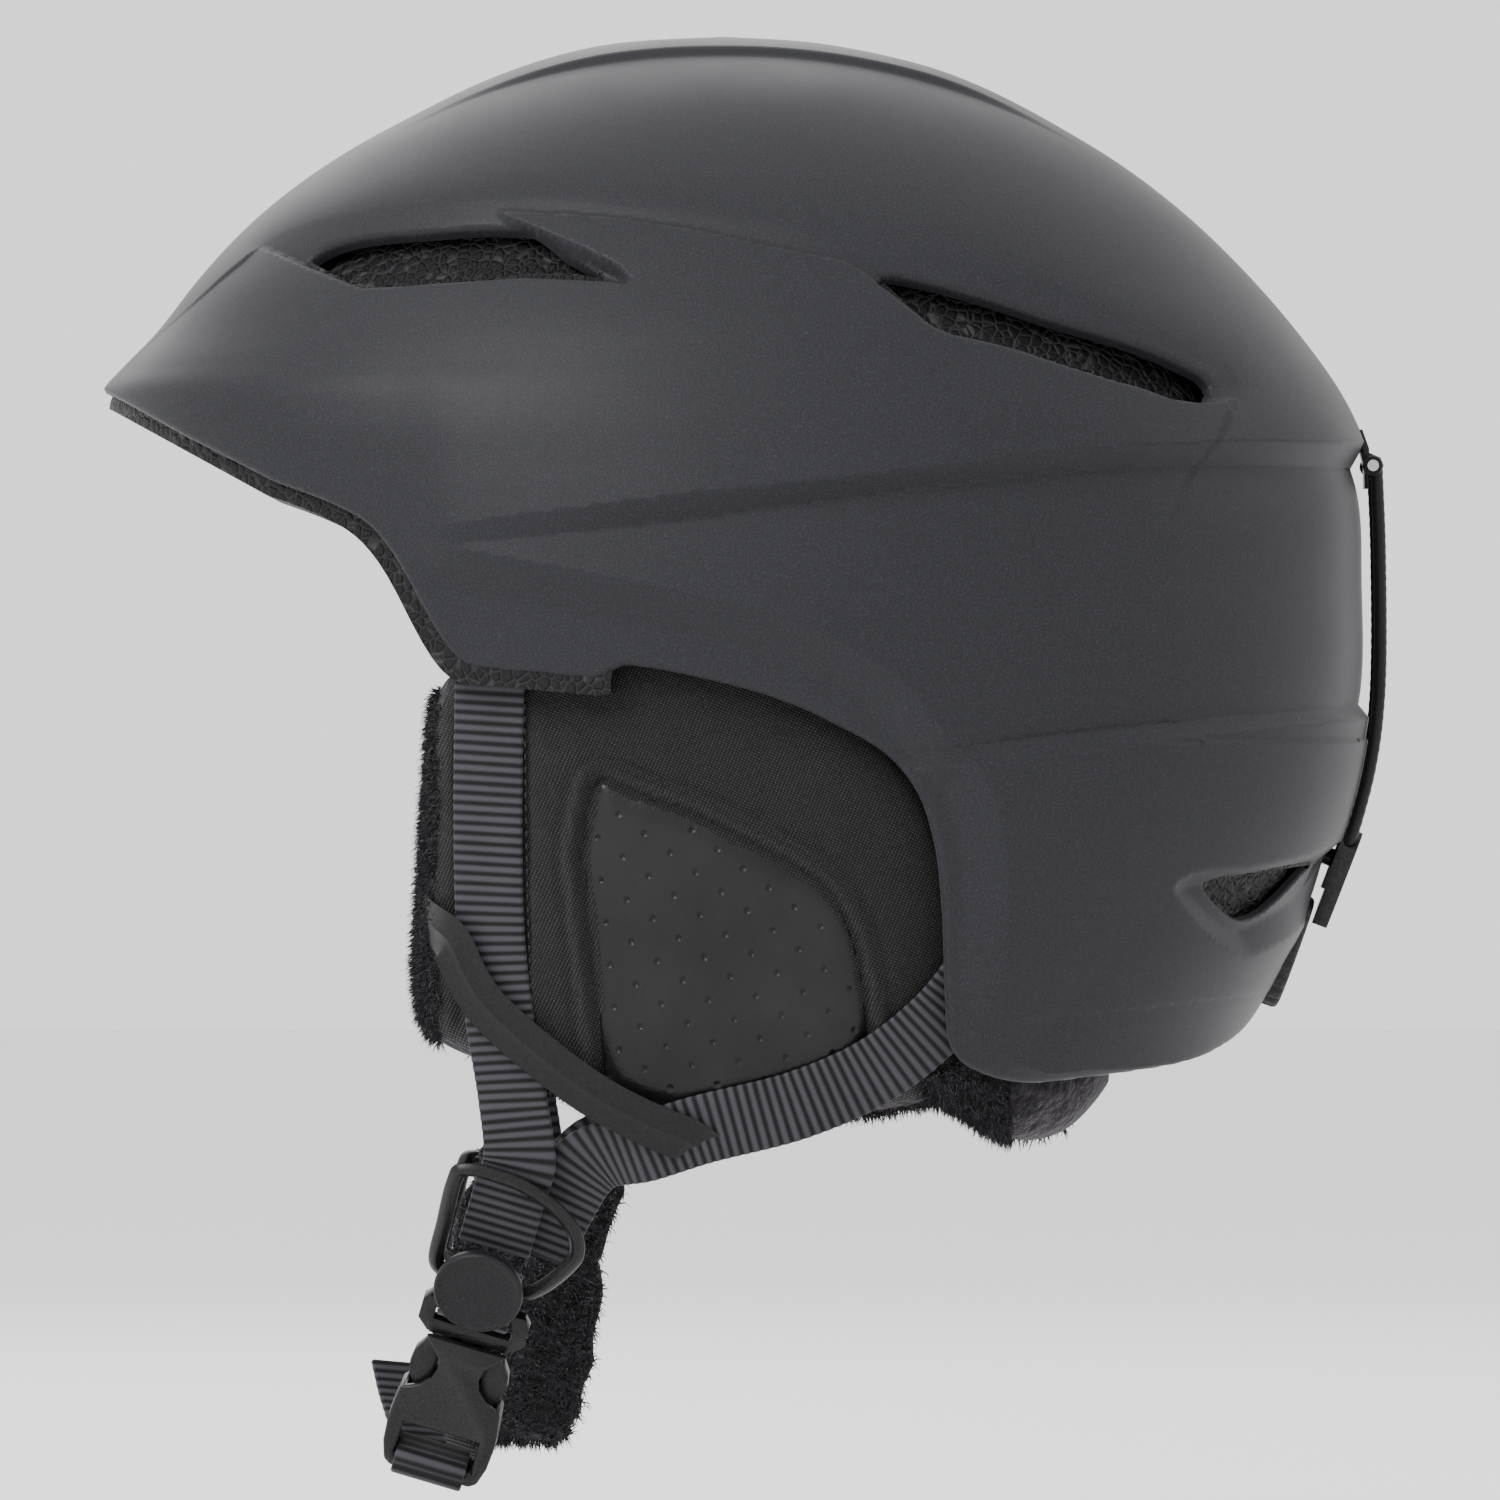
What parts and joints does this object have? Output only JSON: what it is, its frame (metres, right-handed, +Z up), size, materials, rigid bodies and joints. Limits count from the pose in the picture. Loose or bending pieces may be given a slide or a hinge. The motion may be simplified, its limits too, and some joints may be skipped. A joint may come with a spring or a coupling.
{
  "type": "ski helmet",
  "caption": "Padded ski helmet with recessed vents, ear pads, split side straps, a quick-release chin buckle, a rear fit dial and a goggle strap holder.",
  "frame": {"origin": "middle of the head space, level with the shell's lower edge at the temples", "axes": "+Z up through the crown, -Y forward past the brim, +X towards the wearer's left"},
  "size_m": [0.2182, 0.2833, 0.3191],
  "materials": {
    "shell": "soft-touch matt",
    "foam": "beaded foam",
    "lining": "brushed knit",
    "fleece": "deep pile",
    "ear_fabric": "coarse weave",
    "ear_leather": "perforated",
    "webbing": "ribbed webbing",
    "hardware": "satin moulded",
    "dial_rubber": "moulded",
    "nylon": "satin",
    "elastic": "smooth elastic",
    "steel": "plain"
  },
  "bodies": {
    "helmet": {"outer_shell": "shell", "foam_liner": "foam", "brow_pad": "lining", "crown_pads": "lining", "side_pads": "lining", "rear_pad": "lining", "nape_pad": "lining", "fit_housing": "hardware", "holder_bracket": "hardware", "holder_pin": "steel", "snap_stud": "hardware", "plug_strap": "webbing", "buckle_plug": "hardware", "chin_pad_upper": "fleece", "left_ear_pad": "ear_fabric", "right_ear_pad": "ear_fabric", "left_ear_patch": "ear_leather", "right_ear_patch": "ear_leather", "left_neck_pad": "fleece", "right_neck_pad": "fleece", "left_front_strap": "webbing", "right_front_strap": "webbing", "left_rear_strap": "webbing", "right_rear_strap": "webbing", "left_strap_anchors": "hardware", "right_strap_anchors": "hardware", "left_strap_keeper": "elastic", "right_strap_keeper": "elastic", "left_strap_divider": "hardware", "right_strap_divider": "hardware", "left_divider_button": "hardware", "right_divider_button": "hardware", "right_divider_loop": "webbing"},
    "dial": {"fit_dial": "dial_rubber", "dial_pinion": "hardware"},
    "left_band": {"fit_band_left": "nylon"},
    "right_band": {"fit_band_right": "nylon"},
    "goggle_holder": {"goggle_cord": "elastic", "goggle_tab": "dial_rubber"},
    "chin_side": {"buckle_socket": "hardware", "chin_strap": "webbing", "chin_pad_lower": "fleece", "socket_strap_wrap": "webbing", "strap_tail": "webbing"},
    "rear_arm": {"release_arm_rear": "hardware"},
    "front_arm": {"release_arm_front": "hardware"}
  },
  "joints": [
    {"name": "fit_dial_turn", "type": "hinge", "parent": "helmet", "child": "dial", "pos_m": [0, 0.1236, -0.0605], "axis": [0, 0.9397, -0.342], "range_deg": [0, 90]},
    {"name": "left_band_slide", "type": "slide", "parent": "helmet", "child": "left_band", "axis": [-1, 0, 0], "range_m": [0, 0.0079]},
    {"name": "right_band_slide", "type": "slide", "parent": "helmet", "child": "right_band", "axis": [1, 0, 0], "range_m": [0, 0.0079]},
    {"name": "goggle_holder_swing", "type": "hinge", "parent": "helmet", "child": "goggle_holder", "pos_m": [0, 0.1402, 0.0472], "axis": [1, 0, 0], "range_deg": [0, 110]},
    {"name": "buckle_release", "type": "slide", "parent": "helmet", "child": "chin_side", "axis": [-0.5, -0.247, -0.83], "range_m": [0, 0.022]},
    {"name": "rear_arm_squeeze", "type": "hinge", "parent": "helmet", "child": "rear_arm", "pos_m": [0.05106, -0.05275, -0.14714], "axis": [-0.866, 0.1426, 0.4793], "range_deg": [0, 9], "stiffness_Nm_per_rad": 0.4},
    {"name": "front_arm_squeeze", "type": "hinge", "parent": "helmet", "child": "front_arm", "pos_m": [0.05106, -0.06501, -0.1435], "axis": [0.866, -0.1426, -0.4793], "range_deg": [0, 9], "stiffness_Nm_per_rad": 0.4}
  ],
  "couplings": [
    {"joint": "left_band_slide", "follows": "fit_dial_turn", "m_per_rad": 0.005},
    {"joint": "right_band_slide", "follows": "fit_dial_turn", "m_per_rad": 0.005}
  ]
}
